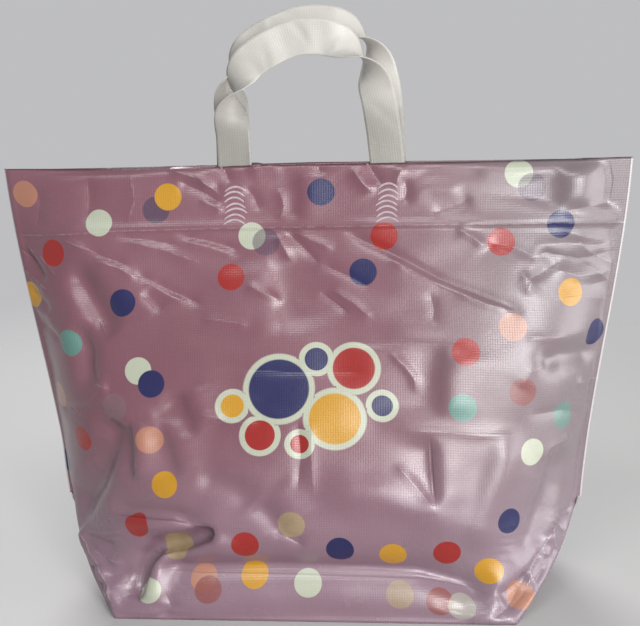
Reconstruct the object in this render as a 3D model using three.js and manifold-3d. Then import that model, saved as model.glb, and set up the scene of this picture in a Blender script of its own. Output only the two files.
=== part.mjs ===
// A film carrier bag that stands on its opened bottom gusset, with two soft strap handles.
// Millimetres, +Z up, +X across the width, the front panel faces -Y, origin on the floor at the middle.
// The bag is one folded web: front panel, gusset and rear panel, welded down both sides, with its top
// edge turned in as a hem. The film is far thinner than FILM; a thicker wall stands in for it.

import * as THREE from "three";
import { mergeVertices } from "three/addons/utils/BufferGeometryUtils.js";
import Module from "manifold-3d";

// The flat bag
const BAG_WIDTH = 550; // from the outer edge of one side weld to that of the other
const WELD_WIDTH = 4.5; // the side weld's flange, outside the seam line
const GUSSET_HALF = 97; // half of the bottom gusset, which is half of the open base's depth
const HEM_DEPTH = 57; // the turned-in top edge

// The bag as it stands
const MOUTH_HEIGHT = 384;
const MOUTH_HALF = 8; // half of the gap at the middle of the nearly closed mouth
const SEAM_PULL = 38; // how far each side seam is drawn in at the top of the gusset
const FOOT_FLARE = 0.15; // slope of the panel outwards, just above the floor
const MOUTH_FLARE = 0.16; // slope of the panel inwards, at the mouth
const PLAN_POWER = 3.5; // how squarely the panel turns back towards the side seams
const FLAP_LIFT = 2.4; // how far the tip of each corner flap stands off the end wall behind it
const FLAP_INSET = 3; // the flap's free sides stay this far inside its folded triangle
const FLAP_ROOT = 0.3; // how deep the flap grows out of the end wall along its fold

// Thicknesses and gaps
const FILM = 0.5;
const HEM_GAP = 0.3; // air between the hem's two layers
const SEAM_GAP = 0.2; // half of the hollow's width where it closes at the seam
const SEAM_WALL = 1.2; // film at the seam, measured across the bag
const HEM_SEAM = 12; // how far the hem's layers are welded together, in from each seam
const POCKET_SEAM = 18; // where the hem's open pocket ends, in from each seam

// The handles
const STRAP_WIDTH = 30;
const STRAP_THICKNESS = 0.6;
const STRAP_CLEARANCE = 0.4; // between the outer edge of a strap's root and the hem behind it
const STRAP_TUCK = 46; // length of strap inside the mouth
const LEG_SPACING = 136; // between the middles of one handle's two legs
const LEG_RISE = 44; // straight leg above the mouth, up to the arch
const REAR_LEG_EXTRA = 9; // the rear handle stands this much higher
const FRONT_LEAN = 3; // degrees that the front handle leans back
const STRAP_PASSING = 0.9; // how far the turning straps reach past each other, one above the other
const ARCH_RISE = 62; // from the legs' tops to the middle of the arch
const TWIST_SHARE = 0.8; // share of each half of the arch over which the strap turns half round

// Smoothness
const PANEL_STEPS = 26; // across a panel
const GUSSET_STEPS = 5; // levels from the floor to the top of the gusset
const PANEL_LEVELS = 9; // levels from there to the hem
const ARCH_STEPS = 16; // along half of a handle's arch
const STRAP_STRIPS = 4; // across a strap

const seamHalf = BAG_WIDTH / 2 - WELD_WIDTH;
const baseHalf = seamHalf - GUSSET_HALF;
const gussetSeam = seamHalf - SEAM_PULL;
const gussetTop = Math.sqrt(GUSSET_HALF ** 2 - (gussetSeam - baseHalf) ** 2);
const hemBottom = MOUTH_HEIGHT - HEM_DEPTH;
const hemWall = 2 * FILM + HEM_GAP;
const flangeHalf = FILM + SEAM_GAP;
const strapInward = hemWall + STRAP_CLEARANCE + STRAP_THICKNESS / 2;

const wasm = await Module();
wasm.setup();

// How far the middle of a panel stands from the bag's middle plane, at a height.
function panelDepth(z) {
  const f = z / MOUTH_HEIGHT;
  const foot = 2 * f ** 3 - 3 * f ** 2 + 1;
  const footSlope = (f ** 3 - 2 * f ** 2 + f) * MOUTH_HEIGHT * FOOT_FLARE;
  const mouthSlope = (f ** 3 - f ** 2) * MOUTH_HEIGHT * -MOUTH_FLARE;
  return foot * GUSSET_HALF + footSlope + (1 - foot) * MOUTH_HALF + mouthSlope;
}

// Where a panel ends at a height: at the fold of the corner flap below the gusset's top, and at the
// side seam above it. x is measured across and y from the middle plane.
function panelEnd(z) {
  if (z < gussetTop) {
    const f = z / gussetTop;
    return { x: baseHalf + (gussetSeam - baseHalf) * f, y: GUSSET_HALF * (1 - f) };
  }
  const down = (MOUTH_HEIGHT - z) / (MOUTH_HEIGHT - gussetTop);
  const drawnIn = (Math.sin((Math.PI / 2) * down) ** 2 + down) / 2;
  return { x: seamHalf - SEAM_PULL * drawnIn, y: 0 };
}

// One surface of the film: how far it lies in from the outside across the panel, and in from the
// seam's outer line along the bag.
const OUTSIDE = { inward: 0, seamInset: 0 };
const INSIDE = { inward: FILM, seamInset: SEAM_WALL };
const HEM_INSIDE = { inward: hemWall, seamInset: HEM_SEAM };
const POCKET_OUTER = { inward: FILM, seamInset: POCKET_SEAM };
const POCKET_INNER = { inward: FILM + HEM_GAP, seamInset: POCKET_SEAM };

// The distance of a panel's surface from the middle plane.
function surfaceDepth(x, z, surface) {
  const end = panelEnd(z);
  const along = Math.min(1, Math.abs(x) / (end.x - surface.seamInset));
  const atEnd = Math.max(0, end.y - surface.inward);
  const middle = panelDepth(z) + flangeHalf - surface.inward;
  const closed = surface === OUTSIDE ? flangeHalf : SEAM_GAP;
  return middle - (middle - atEnd - closed) * along ** PLAN_POWER;
}

// Places across a panel, closer together towards its ends.
function acrossPanel(reach) {
  return Array.from({ length: PANEL_STEPS + 1 }, (_, i) =>
    reach * Math.sin((Math.PI / 2) * ((2 * i) / PANEL_STEPS - 1)));
}

// A closed ring round the bag at one height. Its two end points on each side lie on the end wall, or
// make the flange of the side weld.
function ring(z, surface, height = z) {
  const end = panelEnd(z);
  const reach = end.x - surface.seamInset;
  const hasFlange = surface === OUTSIDE && z > gussetTop;
  const tip = hasFlange ? end.x + WELD_WIDTH : reach;
  const tipDepth = hasFlange ? flangeHalf : surfaceDepth(reach, z, surface) / 3;
  const xs = acrossPanel(reach);
  const front = xs.map((x) => [x, -surfaceDepth(x, z, surface), height]);
  const rear = xs.map((x) => [-x, surfaceDepth(x, z, surface), height]);
  return [
    ...front, [tip, -tipDepth, height], [tip, tipDepth, height],
    ...rear, [-tip, tipDepth, height], [-tip, -tipDepth, height],
  ];
}

// Triangles between rings that hold as many points each. The first and last rings are closed by caps.
function loft(rings) {
  const count = rings[0].length;
  const triangles = [];
  for (let r = 0; r + 1 < rings.length; r += 1) {
    for (let i = 0; i < count; i += 1) {
      const j = (i + 1) % count;
      const [a, b] = [r * count + i, r * count + j];
      triangles.push([a, b, b + count], [a, b + count, a + count]);
    }
  }
  const last = (rings.length - 1) * count;
  for (const [offset, turned] of [[0, true], [last, false]]) {
    const outline = rings[offset / count].map(([x, y]) => new THREE.Vector2(x, y));
    for (const face of THREE.ShapeUtils.triangulateShape(outline, [])) {
      const corners = face.map((i) => i + offset);
      triangles.push(turned ? corners.reverse() : corners);
    }
  }
  return solidOf(rings.flat(), triangles);
}

function solidOf(points, triangles) {
  const mesh = new wasm.Mesh({
    numProp: 3,
    vertProperties: new Float32Array(points.flat()),
    triVerts: new Uint32Array(triangles.flat()),
  });
  mesh.merge();
  return new wasm.Manifold(mesh);
}

// A closed geometry becomes a solid once only its positions are left and its shared corners are merged.
function solidOfGeometry(geometry) {
  geometry.deleteAttribute("normal");
  geometry.deleteAttribute("uv");
  const merged = mergeVertices(geometry, 1e-4);
  return new wasm.Manifold(new wasm.Mesh({
    numProp: 3,
    vertProperties: new Float32Array(merged.attributes.position.array),
    triVerts: new Uint32Array(merged.index.array),
  }));
}

function geometryOf(solid) {
  const mesh = solid.getMesh();
  const geometry = new THREE.BufferGeometry();
  geometry.setAttribute("position", new THREE.BufferAttribute(mesh.vertProperties, 3));
  geometry.setIndex(new THREE.BufferAttribute(mesh.triVerts, 1));
  geometry.computeVertexNormals();
  return geometry;
}

function levels(from, to, steps) {
  return Array.from({ length: steps + 1 }, (_, i) => from + ((to - from) * i) / steps);
}

// The shell goes up outside, over the mouth, down inside the hem and on down the inside to the base.
function shell() {
  const hair = 0.5; // the side weld starts this far above the gusset's top
  const belowGusset = levels(0, gussetTop, GUSSET_STEPS);
  const aboveGusset = levels(gussetTop + hair, hemBottom, PANEL_LEVELS);
  const hem = levels(hemBottom, MOUTH_HEIGHT, 3);
  const outer = [...belowGusset, ...aboveGusset, ...hem.slice(1)].map((z) => ring(z, OUTSIDE));
  const hemInner = [...hem].reverse().map((z) => ring(z, HEM_INSIDE));
  const inner = [...belowGusset.slice(1), ...aboveGusset].reverse().map((z) => ring(z, INSIDE));
  const base = ring(0, INSIDE, FILM);
  return loft([...outer, ...hemInner, ...inner, base]);
}

// The air between the hem's two layers on one panel, open downwards into the bag.
function hemPocket(side) {
  const open = 1; // it starts this far below the hem's free edge
  const rows = levels(hemBottom - open, MOUTH_HEIGHT - FILM, 3);
  const slices = rows.map((z) => {
    const xs = acrossPanel(panelEnd(z).x - POCKET_SEAM);
    const near = xs.map((x) => [x, side * surfaceDepth(x, z, POCKET_OUTER), z]);
    const far = xs.map((x) => [x, side * surfaceDepth(x, z, POCKET_INNER), z]).reverse();
    return side < 0 ? [...near, ...far] : [...near, ...far].reverse();
  });
  return loft(slices);
}

// The double film of one bottom corner, folded back flat on the end wall. side picks the end and
// panel the front or rear of the bag. The flap is drawn with x along its fold and y over the wall.
function cornerFlap(side, panel) {
  const corner = new THREE.Vector3(side * baseHalf, panel * GUSSET_HALF, 0);
  const top = new THREE.Vector3(side * gussetSeam, 0, gussetTop);
  const foldLength = corner.distanceTo(top);
  const fold = top.clone().sub(corner).normalize();
  const outOfWall = new THREE.Vector3(side * gussetTop, 0, baseHalf - gussetSeam).normalize();
  const overWall = outOfWall.clone().cross(fold).multiplyScalar(side * panel);
  const opening = Math.asin(FLAP_LIFT / (foldLength / 2));
  const away = overWall.multiplyScalar(Math.cos(opening)).addScaledVector(outOfWall, Math.sin(opening));
  const inset = FLAP_INSET * Math.SQRT2;
  const outline = new THREE.Shape([
    new THREE.Vector2(inset, -FILM / 2),
    new THREE.Vector2(foldLength - inset, -FILM / 2),
    new THREE.Vector2(foldLength / 2, foldLength / 2 - inset),
  ]);
  const geometry = new THREE.ExtrudeGeometry(outline, { depth: 2 * FILM, bevelEnabled: false });
  const across = fold.clone().cross(away);
  const start = side * panel > 0 ? -FLAP_ROOT : FLAP_ROOT - 2 * FILM;
  const frame = new THREE.Matrix4().makeBasis(fold, away, across);
  frame.setPosition(corner.addScaledVector(across, start));
  return solidOfGeometry(geometry.applyMatrix4(frame));
}

function bagBody() {
  let bag = shell();
  for (const side of [-1, 1]) {
    bag = bag.subtract(hemPocket(side));
    for (const panel of [-1, 1]) {
      bag = bag.add(cornerFlap(side, panel));
    }
  }
  return geometryOf(bag);
}

// A flat strap through a list of stations, each with its middle, the direction of its width and the
// direction of its thickness. Both faces are split along the same diagonals, so that the strap keeps
// its thickness where it turns.
function strap(stations) {
  const offsets = levels(-STRAP_WIDTH / 2, STRAP_WIDTH / 2, STRAP_STRIPS);
  const face = (side) => stations.flatMap(({ middle, width, thick }) => offsets.map((offset) =>
    middle.clone()
      .addScaledVector(width, offset)
      .addScaledVector(thick, (side * STRAP_THICKNESS) / 2)
      .toArray()));
  const row = offsets.length;
  const farFace = stations.length * row;
  const last = (stations.length - 1) * row;
  const triangles = [];
  const quad = (a, b, c, d) => triangles.push([a, b, c], [a, c, d]);
  for (let near = 0; near < last; near += row) {
    for (let i = near; i < near + STRAP_STRIPS; i += 1) {
      const far = i + farFace;
      quad(i, i + 1, i + row + 1, i + row);
      triangles.push([far, far + row + 1, far + 1], [far, far + row, far + row + 1]);
    }
    const end = near + STRAP_STRIPS;
    quad(near, near + row, near + row + farFace, near + farFace);
    quad(end, end + farFace, end + row + farFace, end + row);
  }
  for (let i = 0; i < STRAP_STRIPS; i += 1) {
    const end = last + i;
    quad(i, i + farFace, i + 1 + farFace, i + 1);
    quad(end, end + 1, end + 1 + farFace, end + farFace);
  }
  return geometryOf(solidOf([...face(-1), ...face(1)], triangles));
}

// The left half of a handle as stations in the handle's own leaning plane: x across, y up the plane,
// z towards the front. The leg rises straight, and then the arch bends over to the middle while the
// strap turns half round, so that the leg's outer edge comes forward and becomes the arch's lower one.
function handleHalf(legRise) {
  const foot = new THREE.Vector3(-LEG_SPACING / 2, 0, 0);
  const arch = (turn) => new THREE.Vector3(
    (-LEG_SPACING / 2) * Math.cos(turn), legRise + ARCH_RISE * Math.sin(turn), 0);
  const up = new THREE.Vector3(0, 1, 0);
  const flat = new THREE.Vector3(1, 0, 0);
  const stations = [{ middle: foot.clone().lerp(arch(0), 0.5), along: up, width: flat }];
  for (let i = 0; i <= ARCH_STEPS; i += 1) {
    const turn = (Math.PI / 2) * (i / ARCH_STEPS);
    const along = new THREE.Vector3(
      (LEG_SPACING / 2) * Math.sin(turn), ARCH_RISE * Math.cos(turn), 0).normalize();
    const outward = new THREE.Vector3(-along.y, along.x, 0);
    const turned = Math.PI * (1 - THREE.MathUtils.smoothstep(i / ARCH_STEPS, 0, TWIST_SHARE));
    const width = outward.multiplyScalar(Math.cos(turned)).add(new THREE.Vector3(0, 0, -Math.sin(turned)));
    stations.push({ middle: arch(turn), along, width });
  }
  return stations;
}

// The right half mirrors the left, and is walked from the middle outwards.
function mirrored(stations) {
  return stations.slice(0, -1).reverse().map(({ middle, along, width }) => ({
    middle: new THREE.Vector3(-middle.x, middle.y, middle.z),
    along: new THREE.Vector3(along.x, -along.y, -along.z),
    width: new THREE.Vector3(-width.x, width.y, width.z),
  }));
}

// How far a strap's root stands from the middle plane. The hem is nearest at the strap's outer edge.
function rootDepth(z) {
  const surface = { inward: strapInward, seamInset: HEM_SEAM };
  return surfaceDepth((LEG_SPACING + STRAP_WIDTH) / 2, z, surface);
}

// The rear handle leans back far enough for the straps to pass each other where both stand edge on.
function rearLean(frontLean) {
  const edgeOn = (Math.PI / 2) * (TWIST_SHARE / 2);
  const height = LEG_RISE + REAR_LEG_EXTRA / 2 + ARCH_RISE * Math.sin(edgeOn);
  const apart = STRAP_WIDTH - STRAP_PASSING - 2 * rootDepth(MOUTH_HEIGHT);
  return Math.asin(Math.sin(frontLean) + apart / height);
}

// A whole handle. panel is -1 for the front and 1 for the rear; both lean back and fold alike.
function handle(panel, legRise, lean) {
  const depthAt = (z) => panel * rootDepth(z);
  const upPlane = new THREE.Vector3(0, Math.sin(lean), Math.cos(lean));
  const front = new THREE.Vector3(0, -Math.cos(lean), Math.sin(lean));
  const frame = new THREE.Matrix4().makeBasis(new THREE.Vector3(1, 0, 0), upPlane, front);
  const foot = new THREE.Vector3(0, depthAt(MOUTH_HEIGHT), MOUTH_HEIGHT);
  const root = (x) => levels(MOUTH_HEIGHT - STRAP_TUCK, MOUTH_HEIGHT, 4).map((z) => ({
    middle: new THREE.Vector3(x, depthAt(z), z),
    along: new THREE.Vector3(0, depthAt(z + 1) - depthAt(z), 1).normalize(),
    width: new THREE.Vector3(1, 0, 0),
  }));
  const half = handleHalf(legRise);
  const free = [...half, ...mirrored(half)].map(({ middle, along, width }) => ({
    middle: middle.clone().applyMatrix4(frame).add(foot),
    along: along.clone().applyMatrix4(frame),
    width: width.clone().applyMatrix4(frame),
  }));
  const rightRoot = root(LEG_SPACING / 2).reverse().map(({ middle, along, width }) => ({
    middle,
    along: along.clone().negate(),
    width: width.clone().negate(),
  }));
  const stations = [...root(-LEG_SPACING / 2), ...free, ...rightRoot];
  return strap(stations.map((s) => ({ ...s, thick: s.along.clone().cross(s.width).normalize() })));
}

const bag = new THREE.Group();

function addPiece(name, geometry, material) {
  const mesh = new THREE.Mesh(geometry, material);
  mesh.name = name;
  bag.add(mesh);
}

const printedFilm = new THREE.MeshStandardMaterial({ color: 0xb08a9e, roughness: 0.32, metalness: 0 });
const strapFilm = new THREE.MeshStandardMaterial({ color: 0xdedcd8, roughness: 0.42, metalness: 0 });

addPiece("bag_body", bagBody(), printedFilm);
const frontLean = THREE.MathUtils.degToRad(FRONT_LEAN);
addPiece("front_handle", handle(-1, LEG_RISE, frontLean), strapFilm);
addPiece("rear_handle", handle(1, LEG_RISE + REAR_LEG_EXTRA, rearLean(frontLean)), strapFilm.clone());

export default bag;
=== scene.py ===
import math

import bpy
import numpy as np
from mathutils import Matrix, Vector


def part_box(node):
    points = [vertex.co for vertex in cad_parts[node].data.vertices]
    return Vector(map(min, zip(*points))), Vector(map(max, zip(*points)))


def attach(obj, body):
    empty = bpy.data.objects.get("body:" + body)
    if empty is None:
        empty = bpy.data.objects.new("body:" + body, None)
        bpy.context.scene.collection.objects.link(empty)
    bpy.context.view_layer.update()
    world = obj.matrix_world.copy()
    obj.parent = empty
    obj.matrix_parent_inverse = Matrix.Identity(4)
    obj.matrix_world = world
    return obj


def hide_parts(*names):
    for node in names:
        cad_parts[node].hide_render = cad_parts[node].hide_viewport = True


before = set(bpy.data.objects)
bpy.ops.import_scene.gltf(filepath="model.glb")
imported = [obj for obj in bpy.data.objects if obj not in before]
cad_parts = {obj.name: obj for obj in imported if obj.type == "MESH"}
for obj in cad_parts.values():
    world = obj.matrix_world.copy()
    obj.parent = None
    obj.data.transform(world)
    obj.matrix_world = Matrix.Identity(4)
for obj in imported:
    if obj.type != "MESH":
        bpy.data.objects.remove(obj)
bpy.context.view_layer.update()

# A film carrier bag with welded sides, an opened bottom gusset and soft strap handles.
# The film is one web: front panel, gusset and rear panel, with its top edges turned in as hems. A flat
# grid of the web is laid onto the standing bag's shape, creased, and then relaxed until the film has
# its flat lengths again. Lengths are millimetres until a mesh is made; the scene is in metres.
# Flat coordinates: u across the bag from its middle, v up a panel from the bottom fold.

MM = 0.001

# The bag as the frame has it
bag_low, bag_high = (np.array(corner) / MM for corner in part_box("bag_body"))
BAG_HALF = bag_high[0]
MOUTH_HEIGHT = bag_high[2]

# The flat web
WELD_WIDTH = 4.5
GUSSET_HALF = 97.0
HEM_DEPTH = 57.0
PANEL_HEIGHT = 408.0

# The bag as it stands
MOUTH_HALF = 8.0
SEAM_PULL = 38.0  # how far a side seam is drawn in at the top of the gusset
FOOT_FLARE = 0.15  # slope of the panel outwards, just above the floor
MOUTH_FLARE = 0.16  # slope of the panel inwards, at the mouth
WALL_BULGE = 7.0  # how far each end wall and its folds bow outwards
FLANGE_TURN = math.radians(40)  # how far the weld's edge at -X is turned back
END_EASE = 0.7  # how much a panel flattens again towards its side seams near the mouth, like a fin
EASE_FROM, EASE_TO = 130.0, 330.0  # flat heights between which that sets in
TURN_FROM, TURN_TO = 10.0, 60.0  # heights above the gusset between which the weld's edge starts to turn
SEAM_OPENING = 0.025  # how fast front and rear at least part from each other, going in from a seam
FLOOR_GAP = 0.3
LAYER_GAP = 0.4  # between layers of film that lie on each other
FRONT_FLAP_OPENING, REAR_FLAP_OPENING = 0.02, 0.04  # rise of each corner flap off the end wall, per mm

# The grid of the web
PANEL_COLUMNS = 208
PANEL_ROWS = 156
GUSSET_ROWS = 74
HEM_ROWS = round(HEM_DEPTH / PANEL_HEIGHT * PANEL_ROWS)
FLANGE_COLUMNS = 2

# How finely the standing shape is worked out
PROFILE_SAMPLES = 800
SECTION_SAMPLES = 240
ROW_POWERS = (1.3, 14.0)  # the roundest and the squarest curve that a row may have
ROW_HALVINGS = 30

# Distances from the middle: of a side seam on the flat web, the base's end, and the seam over the gusset
SEAM_HALF = BAG_HALF - WELD_WIDTH
BASE_HALF = SEAM_HALF - GUSSET_HALF
GUSSET_SEAM = SEAM_HALF - SEAM_PULL
# The height of the gusset's top, and the end wall's two directions
GUSSET_TOP = math.sqrt(GUSSET_HALF**2 - (GUSSET_SEAM - BASE_HALF) ** 2)
UP_WALL = np.array([GUSSET_SEAM - BASE_HALF, 0, GUSSET_TOP]) / GUSSET_HALF
OUT_OF_WALL = np.array([UP_WALL[2], 0, -UP_WALL[0]])

# The photograph's frame and the camera that was fitted to it
IMAGE_WIDTH, IMAGE_HEIGHT = 640, 626
CAMERA_AIM = np.array([5.0, 0.0, 250.5])
CAMERA_DISTANCE = 1100.0
CAMERA_AZIMUTH, CAMERA_ELEVATION, CAMERA_ROLL = 5.72, 12.89, -1.73
FOCAL_PIXELS = 1234.7
SENSOR_WIDTH = 36.0
CLIP_RANGE = (0.05, 50.0)


def smooth(x, low, high):
    t = np.clip((x - low) / (high - low), 0, 1)
    return t * t * (3 - 2 * t)


def distances_along(line):
    """How far each point of a line is from its start, along the line."""
    return np.concatenate([[0], np.cumsum(np.linalg.norm(np.diff(line, axis=0), axis=1))])


def resampled(line, distances, at):
    """The points of a line at the given distances along it."""
    return np.stack([np.interp(at, distances, line[:, axis]) for axis in range(line.shape[1])], -1)


# The camera

def camera_axes():
    azimuth, elevation, roll = np.radians([CAMERA_AZIMUTH, CAMERA_ELEVATION, CAMERA_ROLL])
    back = np.array([
        math.sin(azimuth) * math.cos(elevation),
        -math.cos(azimuth) * math.cos(elevation),
        math.sin(elevation)])
    level = np.cross(-back, [0, 0, 1])
    level /= np.linalg.norm(level)
    upright = np.cross(level, -back)
    right = level * math.cos(roll) + upright * math.sin(roll)
    up = upright * math.cos(roll) - level * math.sin(roll)
    return CAMERA_AIM + back * CAMERA_DISTANCE, right, up, back


def project(points):
    """Pixels of the photograph's frame, and the distance in front of the camera."""
    place, right, up, back = camera_axes()
    away = points - place
    depth = -(away @ back)
    pixels = np.stack([
        IMAGE_WIDTH / 2 + FOCAL_PIXELS * (away @ right) / depth,
        IMAGE_HEIGHT / 2 - FOCAL_PIXELS * (away @ up) / depth], -1)
    return pixels, depth


def make_camera():
    place, right, up, back = camera_axes()
    data = bpy.data.cameras.new("camera")
    data.sensor_width = SENSOR_WIDTH
    data.lens = FOCAL_PIXELS / IMAGE_WIDTH * SENSOR_WIDTH
    data.clip_start, data.clip_end = CLIP_RANGE
    camera = bpy.data.objects.new("camera", data)
    bpy.context.scene.collection.objects.link(camera)
    axes = Matrix(np.array([right, up, back]).T.tolist()).to_4x4()
    camera.matrix_world = Matrix.Translation(Vector(place * MM)) @ axes
    bpy.context.scene.camera = camera


# The standing bag's smooth shape

def panel_depth(z):
    """How far a panel's middle line stands from the bag's middle plane at the height z."""
    f = z / MOUTH_HEIGHT
    foot = 2 * f**3 - 3 * f**2 + 1
    foot_slope = (f**3 - 2 * f**2 + f) * MOUTH_HEIGHT * FOOT_FLARE
    mouth_slope = (f**3 - f**2) * MOUTH_HEIGHT * -MOUTH_FLARE
    return foot * GUSSET_HALF + foot_slope + (1 - foot) * MOUTH_HALF + mouth_slope


def end_wall(up, y):
    """A point of the end wall at +X, by its distance up the wall and its place across it."""
    bow = WALL_BULGE * np.sin(np.pi * np.clip(up / GUSSET_HALF, 0, 1))
    return np.stack([BASE_HALF + UP_WALL[0] * up + bow, y + 0 * up, UP_WALL[2] * up + FLOOR_GAP], -1)


def panel_end(v):
    """Where a row of the front panel ends at +X: on the corner's fold, or higher up at the side seam."""
    fold = end_wall(v, v - GUSSET_HALF)
    down = (PANEL_HEIGHT - v) / (PANEL_HEIGHT - GUSSET_HALF)
    drawn_in = (np.sin(np.pi / 2 * down) ** 2 + down) / 2
    seam = np.stack([
        SEAM_HALF - SEAM_PULL * drawn_in, 0 * v, MOUTH_HEIGHT - (MOUTH_HEIGHT - GUSSET_TOP) * down], -1)
    return np.where((v < GUSSET_HALF)[..., None], fold, seam)


def middle_profile(v):
    """Depth and height of a panel's middle line, by the flat height v."""
    z = np.linspace(0, MOUTH_HEIGHT, PROFILE_SAMPLES)
    depth = panel_depth(z)
    arc = np.concatenate([[0], np.cumsum(np.hypot(np.diff(z), np.diff(depth)))])
    at = v / PANEL_HEIGHT * arc[-1]
    return np.interp(at, arc, depth), np.interp(at, arc, z)


def row_section(v, power):
    """Points from the middle of a row of the front panel to its end, and their distances along it."""
    end = panel_end(np.array([v]))[0]
    depth, height = middle_profile(v)
    k = np.linspace(0, 1, SECTION_SAMPLES)
    ease = END_EASE * smooth(v, EASE_FROM, EASE_TO)
    back = k**power * (1 + ease * power * (1 - k))
    points = np.stack([
        end[0] * k, -depth + (end[1] + depth) * back, height + (end[2] - height) * k**2], -1)
    return points, distances_along(points)


def curved_row(v, reach):
    """The section of a row whose curve is bent until its length is the flat one."""
    low, high = ROW_POWERS
    for _ in range(ROW_HALVINGS):
        power = (low + high) / 2
        points, arc = row_section(v, power)
        if arc[-1] < reach:
            low = power
        else:
            high = power
    return points, arc


def lay_row(v, u, rear):
    """The points of one row of the front panel. The rear one is laid the same way and then turned round."""
    reach = BASE_HALF + v if v < GUSSET_HALF else SEAM_HALF
    points, arc = curved_row(v, reach)
    row = resampled(points, arc, np.minimum(np.abs(u), reach) / reach * arc[-1])
    row[:, 0] *= np.sign(u)
    beyond = np.abs(u) - reach
    if v < GUSSET_HALF:
        opening = REAR_FLAP_OPENING if rear else FRONT_FLAP_OPENING
        return np.where((beyond > 0)[:, None], flap(u, v, 2.0, opening), row)
    facing = -1 if rear else 1
    turn = FLANGE_TURN * smooth(v, GUSSET_HALF + TURN_FROM, GUSSET_HALF + TURN_TO) * (u * facing < 0)
    row[:, 0] += np.sign(u) * np.maximum(0, beyond) * np.cos(turn)
    row[:, 1] += facing * np.maximum(0, beyond) * np.sin(turn)
    return row


def flap(u, from_fold, layer, opening):
    """A corner flap lies folded back on the end wall, as its first or second layer of film. from_fold is
    the distance from the bottom fold, and opening the rise off the wall with each mm."""
    along = np.abs(u) - BASE_HALF
    point = end_wall(from_fold + 0 * along, along - GUSSET_HALF)
    lift = LAYER_GAP * layer + opening * np.maximum(0, along - from_fold)
    point = point + lift[..., None] * OUT_OF_WALL
    point[..., 2] = np.maximum(point[..., 2], FLOOR_GAP)
    point[..., 0] *= np.sign(u)
    return point


def lay_gusset_row(w, u):
    """One row of the gusset, from the front fold at w = -GUSSET_HALF to the rear one."""
    along = np.abs(u) - BASE_HALF
    base = np.stack([u, w + 0 * u, FLOOR_GAP + 0 * u], -1)
    wall = end_wall(np.maximum(0, along), w)
    wall[:, 0] *= np.sign(u)
    from_fold = GUSSET_HALF - abs(w)
    folded = flap(u, from_fold, 1.0, FRONT_FLAP_OPENING if w < 0 else REAR_FLAP_OPENING)
    folded[:, 1] *= -1 if w > 0 else 1
    row = np.where((along > 0)[:, None], wall, base)
    return np.where((along > from_fold)[:, None], folded, row)


def web_columns():
    inner = np.linspace(-SEAM_HALF, SEAM_HALF, PANEL_COLUMNS + 1)
    flange = SEAM_HALF + WELD_WIDTH * np.array([0.5, 1])
    return np.concatenate([-flange[::-1], inner, flange])


def panel_rows():
    return np.linspace(PANEL_HEIGHT, 0, PANEL_ROWS + 1)


# Creases. Each is a line of pixels in the photograph, laid onto the smooth panel.

CREASE_REACH = 4.0  # how near a crease a face has to be to hold its place from it
OVERLAP_PIXELS = 2.5  # points of the grid this much further off may still cover the nearest one
LARGEST_STEP = 6.0  # how far from a point of the grid a pixel's place may be
FLATTEST = 0.05  # how thin a cell of the grid may look before its thin direction is left out


class Crease:
    """A fold in the film. height is its rise out of the panel and width its reach to each side; a step
    lifts one side and lowers the other. taper fades it towards its ends."""

    def __init__(self, pixels, height, width, step=0.0, sharp=True, taper=0.25):
        self.pixels, self.height, self.width = pixels, height, width
        self.step, self.sharp, self.taper = step, sharp, taper


def flat_coordinates(pixels, u, v, points):
    """Where pixels of the photograph lie on a panel's flat grid, nearest the camera where it overlaps."""
    seen, depth = project(points)
    found = []
    for pixel in np.atleast_2d(np.asarray(pixels, float)):
        away = np.linalg.norm(seen - pixel, axis=-1)
        near = away < away.min() + OVERLAP_PIXELS
        row, column = np.unravel_index(np.argmin(np.where(near, depth, np.inf)), depth.shape)
        row = min(max(row, 1), len(v) - 2)
        column = min(max(column, 1), len(u) - 2)
        per_u = (seen[row, column + 1] - seen[row, column - 1]) / (u[column + 1] - u[column - 1])
        per_v = (seen[row + 1, column] - seen[row - 1, column]) / (v[row + 1] - v[row - 1])
        step = np.linalg.lstsq(np.stack([per_u, per_v], 1), pixel - seen[row, column], rcond=FLATTEST)[0]
        found.append([u[column], v[row]] + np.clip(step, -LARGEST_STEP, LARGEST_STEP))
    return np.array(found)


def distance_to_line(grid, line):
    """Distance and side of grid points from a line of points, and the share of the way along it."""
    lengths = np.linalg.norm(np.diff(line, axis=0), axis=1)
    total, before = lengths.sum(), 0.0
    best = np.full(grid.shape[:2], 1e9)
    side, along = np.zeros_like(best), np.zeros_like(best)
    for start, end, length in zip(line[:-1], line[1:], lengths):
        if length == 0:
            continue
        way = (end - start) / length
        offset = grid - start
        t = np.clip(offset @ way, 0, length)
        gap = offset - t[..., None] * way
        distance = np.hypot(gap[..., 0], gap[..., 1])
        nearer = distance < best
        turned = way[0] * offset[..., 1] - way[1] * offset[..., 0]
        best = np.where(nearer, distance, best)
        side = np.where(nearer, np.sign(turned), side)
        along = np.where(nearer, (before + t) / total, along)
        before += length
    return best, side, along


def end_fade(along, taper):
    """1 on the middle of a line, falling to 0 over the share taper at each end."""
    return smooth(along, 0, taper) * smooth(1 - along, 0, taper)


def crease_relief(creases, u, v, points):
    """How far the creases together raise each point of a panel's grid."""
    grid = np.stack(np.meshgrid(u, v), -1)
    relief = np.zeros(grid.shape[:2])
    for crease in creases:
        line = flat_coordinates(crease.pixels, u, v, points)
        distance, side, along = distance_to_line(grid, line)
        near = distance / crease.width
        profile = np.exp(-near) if crease.sharp else np.exp(-near**2)
        fade = end_fade(along, crease.taper) if crease.taper else 1
        relief += fade * (crease.height * profile + crease.step * side * near * np.exp(1 - near))
    return relief


FRONT_SEED, REAR_SEED = 11, 41

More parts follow.
